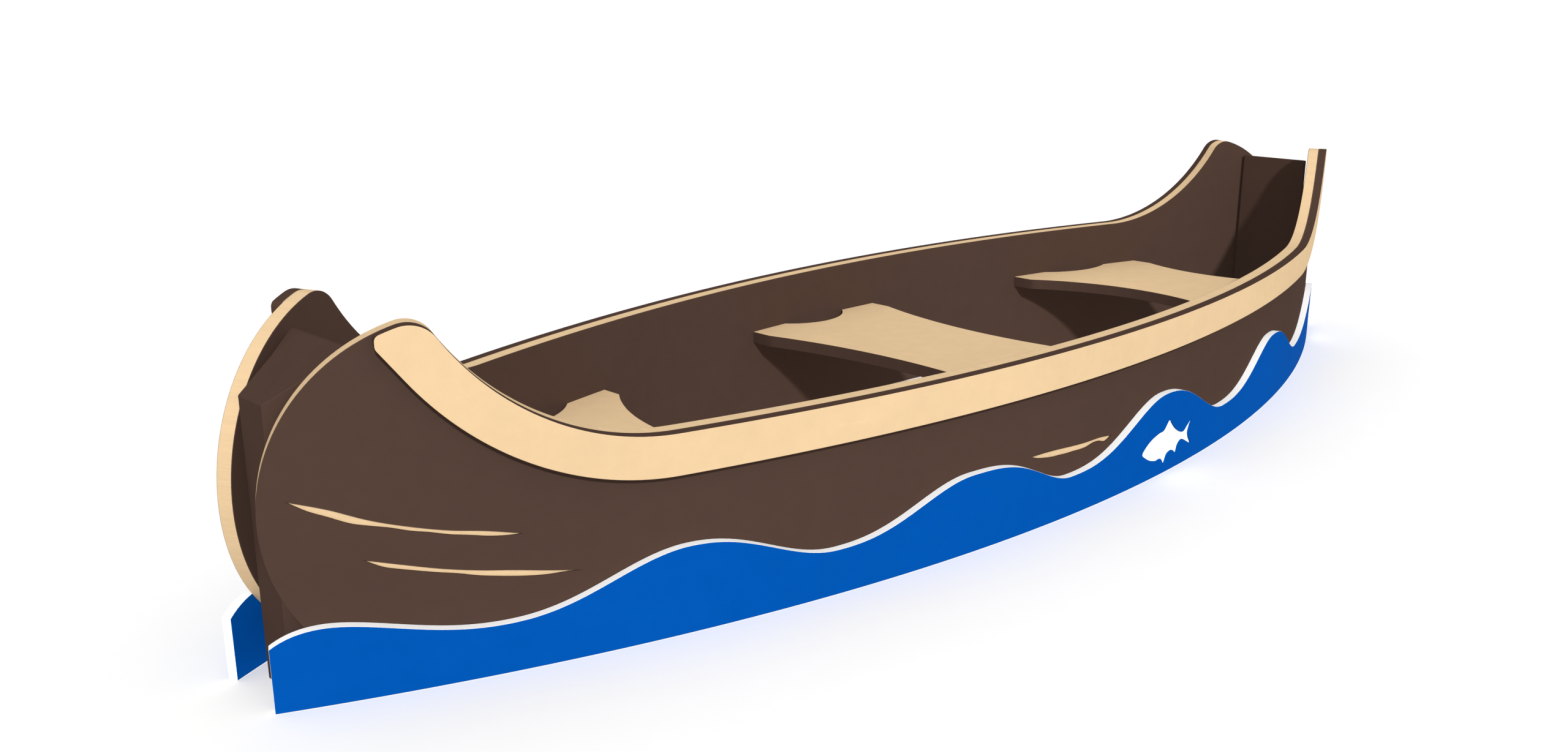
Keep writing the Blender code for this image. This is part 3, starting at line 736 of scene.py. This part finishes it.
for seat_name, (top, fore, aft, notch) in SEATS.items():
    lo, hi = top - T_SEAT, top
    cutters = []
    for node, (seat, axis, head, length, height) in SCREWS.items():
        if node.startswith(f"seat_screw_{seat_name}"):
            cutters.append(slab(disc(seat.x, seat.y, 0.0034), lo - 0.004,
                                seat.z + length + 0.0008))
    bm = carve(slab(seat_outline(fore, aft, notch), lo, hi, ROUND_OVER), cutters)
    paint_faces(bm, lo, hi, 0.0, CAP)
    plain_faces(bm)
    note_sheet(bm)
    finish_piece(f"seat_{seat_name}_sheet", bm, (tan_skin, brown_core),
                 [f"seat_{seat_name}"])

# ------------------------------------------------------------------ stem blocks
for end_name, end in ENDS:
    half = ((STEM_FRONT_X, STEM_FRONT_HALF), (STEM_KINK_X, STEM_KINK_HALF),
            (STEM_WIDE_X, STEM_WIDE_HALF), (STEM_BACK_X, STEM_BACK_HALF))
    plan = ([(end * x, y) for x, y in half]
            + [(end * x, -y) for x, y in reversed(half)])
    slope = math.atan2(STEM_TOP_Z - STEM_NOSE_Z, STEM_FRONT_X - STEM_FLAT_X)
    wedge = bmesh.new()
    bmesh.ops.create_cube(wedge, size=0.3)
    tilt = (Matrix.Translation((end * STEM_FLAT_X, 0, STEM_TOP_Z))
            @ Matrix.Rotation(end * slope, 4, "Y")
            @ Matrix.Translation((end * 0.15, 0, 0.15)))
    bmesh.ops.transform(wedge, matrix=tilt, verts=wedge.verts)
    bm = carve(slab(plan, 0.0, STEM_TOP_Z), [wedge])
    bmesh.ops.dissolve_limit(bm, angle_limit=0.002, verts=bm.verts,
                             edges=bm.edges)
    edges = [e for e in bm.edges
             if len(e.link_faces) == 2 and e.calc_face_angle(0) > 0.2]
    bmesh.ops.bevel(bm, geom=edges, offset=0.0015, offset_type="OFFSET",
                    segments=3, profile=0.5, affect="EDGES",
                    clamp_overlap=True)
    seat, axis, head, length, height = SCREWS[f"stem_screw_{end_name}"]
    hole = slab(disc(0, 0, 0.0044), -0.004, length + 0.001)
    turn = Vector((0, 0, 1)).rotation_difference(-axis).to_matrix().to_4x4()
    bmesh.ops.transform(hole, matrix=Matrix.Translation(seat) @ turn,
                        verts=hole.verts)
    bm = carve(bm, [hole])
    note_sheet(bm)
    for f in bm.faces:
        f.material_index = 0
    finish_piece(f"stem_block_{end_name}_post", bm, (brown_skin,),
                 [f"stem_block_{end_name}"])


# ------------------------------------------------------------------------ screws
def screw_mesh(head, height, length):
    """Button-head screw along +z: dome, hex socket, chamfered shank."""
    n = 48
    shank = 0.0040 if head > 0.006 else 0.0030
    flat = 0.0050 if head > 0.006 else 0.0040
    bm = bmesh.new()
    low = height * 0.28
    curve = []
    for i in range(9):
        a = math.radians(90 * i / 8)
        curve.append((head * 0.50 + head * 0.50 * math.cos(a),
                      low + (height - low) * math.sin(a)))
    profile = [(shank - 0.0006, -length), (shank, -length + 0.0006),
               (shank, -0.0002), (shank + 0.0002, 0.0), (head - 0.0002, 0.0),
               (head, 0.0002)] + curve
    rings = []
    for r, z in profile:
        rings.append([bm.verts.new((r * math.cos(2 * math.pi * i / n),
                                    r * math.sin(2 * math.pi * i / n), z))
                      for i in range(n)])

    def hexagon(z, k=1.0):
        ring = []
        for i in range(n):
            a = 2 * math.pi * i / n
            around = (a + math.pi / 6) % (math.pi / 3) - math.pi / 6
            r = flat / 2 * k / math.cos(around)
            ring.append(bm.verts.new((r * math.cos(a), r * math.sin(a), z)))
        return ring

    rings.append(hexagon(height, 1.06))
    rings.append(hexagon(height - 0.0002))
    rings.append(hexagon(height * 0.38))
    for a, b in zip(rings, rings[1:]):
        for i in range(n):
            j = (i + 1) % n
            bm.faces.new((a[i], a[j], b[j], b[i]))
    bm.faces.new(rings[0][::-1])
    bm.faces.new(rings[-1])
    bmesh.ops.recalc_face_normals(bm, faces=bm.faces)
    mesh = bpy.data.meshes.new("button_head_screw")
    bm.to_mesh(mesh)
    bm.free()
    mesh.materials.append(stainless)
    mesh.shade_smooth()
    mesh.set_sharp_from_angle(angle=math.radians(34))
    return mesh


screw_meshes = {}
for i, (node, (seat, axis, head, length, height)) in enumerate(SCREWS.items()):
    key = (round(head, 4), round(height, 4), round(length, 4))
    if key not in screw_meshes:
        screw_meshes[key] = screw_mesh(*key)
    obj = bpy.data.objects.new(node + "_detail", screw_meshes[key])
    bpy.context.scene.collection.objects.link(obj)
    turn = Vector((0, 0, 1)).rotation_difference(axis).to_matrix().to_4x4()
    spin = Matrix.Rotation(math.radians(37 * i % 60), 4, "Z")
    obj.matrix_world = Matrix.Translation(seat) @ turn @ spin
    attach(obj, "root")
    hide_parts(node)

# ---------------------------------------------------------------------- brackets
def swapped(bm, axes):
    """The solid with its axes in another order, faces still pointing out."""
    for v in bm.verts:
        v.co = Vector([v.co[i] for i in axes])
    if bm.calc_volume(signed=True) < 0:
        bmesh.ops.reverse_faces(bm, faces=bm.faces)
    bm.normal_update()
    return bm


def flat_section(section, s0, s1, edge=0.0):
    """A (d, z) section run along s, laid out flat as (s, z, d)."""
    return swapped(slab(section, s0, s1, edge), (2, 1, 0))


def upright_hole(s, d, z, r):
    """Cutter along z in the flat layout."""
    return swapped(slab(disc(s, d, r), z - 0.010, z + 0.010), (0, 2, 1))


def in_sheet(point, side):
    """Point of the model in (s, z, d)."""
    a = math.atan2(point.x, side * point.y + Y_CENTRE)
    r = math.hypot(point.x, side * point.y + Y_CENTRE)
    return a * R_HULL, point.z, r - R_HULL


def corner_cutters(s0, s1, z, r):
    """What a round of radius r takes off both lower corners of an upright leg."""
    out = 0.002
    fore = ([(s0 - out, z - out), (s0 + r, z - out)]
            + arc(s0 + r, z + r, r, -90, -180, 10) + [(s0 - out, z + r)])
    aft = ([(s1 - r, z - out), (s1 + out, z - out), (s1 + out, z + r)]
           + arc(s1 - r, z + r, r, 0, -90, 10))
    return [slab(points, IN_BACK - 0.003, IN_FACE + 0.003) for points in (fore, aft)]


def bent_bracket(node, section, s0, s1, side, cutters):
    bm = carve(flat_section(section, s0, s1, 0.0004), cutters)
    split_at(bm, PITCH)
    note_sheet(bm)
    bend(bm, side)
    finish_piece(node + "_steel", bm, (zinc,), [node])


for seat_name, (top, fore, aft, notch) in SEATS.items():
    leg_top = top - T_SEAT - GAP
    mid = (s_on_face(fore[0], IN_FACE) + s_on_face(aft[0], IN_FACE)) / 2
    section = angle_section((IN_FACE, leg_top), (IN_FACE, leg_top - ANGLE_LEG_V),
                            (IN_FACE - ANGLE_LEG_H, leg_top))
    relief = ((IN_BACK - 0.0025, leg_top + 0.01), (IN_FACE - 0.06, leg_top + 0.01),
              (IN_FACE - 0.06, leg_top - 0.02), (IN_BACK - 0.0025, leg_top - 0.02))
    for side_name, side in SIDES:
        cutters = [flat_section(relief, mid - ANGLE_CUT_HALF, mid + ANGLE_CUT_HALF)]
        cutters += corner_cutters(mid - ANGLE_HALF, mid + ANGLE_HALF,
                                  leg_top - ANGLE_LEG_V, ANGLE_CORNER)
        for pos in ("fore", "aft"):
            where = f"{seat_name}_{side_name}_{pos}"
            s, z, d = in_sheet(SCREWS["seat_hull_screw_" + where][0], side)
            cutters.append(slab(disc(s, z, 0.0034), IN_BACK - 0.003, IN_FACE + 0.003))
            s, z, d = in_sheet(SCREWS["seat_screw_" + where][0], side)
            cutters.append(upright_hole(s, d, z, 0.0034))
        bent_bracket(f"seat_angle_{seat_name}_{side_name}", section,
                     mid - ANGLE_HALF, mid + ANGLE_HALF, side, cutters)

for end_name, end in ENDS:
    section = angle_section((IN_FACE, 0.0), (IN_FACE, FOOT_LEG_V),
                            (IN_FACE - FOOT_LEG_H, 0.0))
    s0, s1 = sorted((end * (FOOT_S - FOOT_HALF), end * (FOOT_S + FOOT_HALF)))
    for side_name, side in SIDES:
        s, z, d = in_sheet(SCREWS[f"foot_bolt_{end_name}_{side_name}"][0], side)
        cutters = [slab(disc(s, z, 0.0044), IN_BACK - 0.003, IN_FACE + 0.003),
                   upright_hole(end * FOOT_S, IN_FACE - ANCHOR_IN, 0.0,
                                ANCHOR_R + 0.0002)]
        bent_bracket(f"ground_foot_{end_name}_{side_name}", section, s0, s1, side,
                     cutters)

    cutters = []
    for node, r in ((f"stem_screw_{end_name}", 0.0044),
                    (f"stem_hull_screw_{end_name}_port", 0.0034),
                    (f"stem_hull_screw_{end_name}_starboard", 0.0034)):
        seat, axis = SCREWS[node][:2]
        hole = slab(disc(0, 0, r), -0.008, 0.008)
        turn = Vector((0, 0, 1)).rotation_difference(axis).to_matrix().to_4x4()
        bmesh.ops.transform(hole, matrix=Matrix.Translation(seat) @ turn,
                            verts=hole.verts)
        cutters.append(hole)
    bm = carve(slab(strap_outline(end), STRAP_Z0, STRAP_Z1, 0.0006), cutters)
    plain_faces(bm)
    note_sheet(bm)
    finish_piece(f"stem_strap_{end_name}_steel", bm, (zinc,),
                 [f"stem_strap_{end_name}"])

# ------------------------------------------------------------------------- stage
floor_bm = bmesh.new()
bmesh.ops.create_grid(floor_bm, x_segments=1, y_segments=1, size=90.0)
floor = to_object("floor", floor_bm)
floor.location.z = -0.0005
fn = Nodes("pale_floor")
grit = fn.noise(fn.placed(), 14.0, 4.0, 0.6)
fn.set("Base Color", fn.mix(grit, (0.96, 0.96, 0.96), (0.98, 0.98, 0.98)))
fn.set("Roughness", 0.9)
fn.set("Specular IOR Level", 0.0)
floor.data.materials.append(fn.mat)

dome_bm = bmesh.new()
bmesh.ops.create_uvsphere(dome_bm, u_segments=48, v_segments=24, radius=80.0)
dome = to_object("backdrop", dome_bm)
dn = Nodes("white_backdrop")
dn.set("Base Color", (0.0, 0.0, 0.0, 1.0))
dn.set("Emission Color", (1.0, 1.0, 1.0, 1.0))
dn.set("Emission Strength", 1.05)
dome.data.materials.append(dn.mat)
dome.visible_shadow = False

for stage_piece in (floor, dome):
    stage_piece.visible_diffuse = False
    stage_piece.visible_glossy = False

world = bpy.data.worlds.new("studio")
bpy.context.scene.world = world
world.use_nodes = True
backdrop = world.node_tree.nodes.get("Background")
backdrop.inputs["Color"].default_value = (1.0, 1.0, 1.0, 1.0)
backdrop.inputs["Strength"].default_value = 0.58

for light_name, energy, shadows, travel in (
        ("key", 2.51, True, (0.422, 0.747, -0.514)),
        ("fill", 0.50, False, (0.422, 0.747, -0.514)),
        ("back_fill", 1.30, False, (-0.40, -0.91, -0.06))):
    light_data = bpy.data.lights.new(light_name, "SUN")
    light_data.energy = energy
    light_data.angle = math.radians(3)
    light_data.use_shadow = shadows
    light = bpy.data.objects.new(light_name, light_data)
    bpy.context.scene.collection.objects.link(light)
    light.rotation_mode = "QUATERNION"
    light.rotation_quaternion = Vector(travel).to_track_quat("-Z", "Y")
    light.visible_glossy = shadows

view = bpy.context.scene.view_settings
view.view_transform = "Standard"
view.look = "None"

# ------------------------------------------------------------------------ camera
camera_data = bpy.data.cameras.new("camera")
camera_data.sensor_fit = "HORIZONTAL"
camera_data.sensor_width = 36.0
camera_data.lens = 32.224
camera_data.clip_start = 0.01
camera_data.clip_end = 500.0
camera = bpy.data.objects.new("camera", camera_data)
bpy.context.scene.collection.objects.link(camera)
camera.location = (-2.2735, -1.7469, 0.955)
camera.rotation_euler = (math.radians(90 - 15.863), 0.0,
                         math.radians(44.626 - 90))
bpy.context.scene.camera = camera
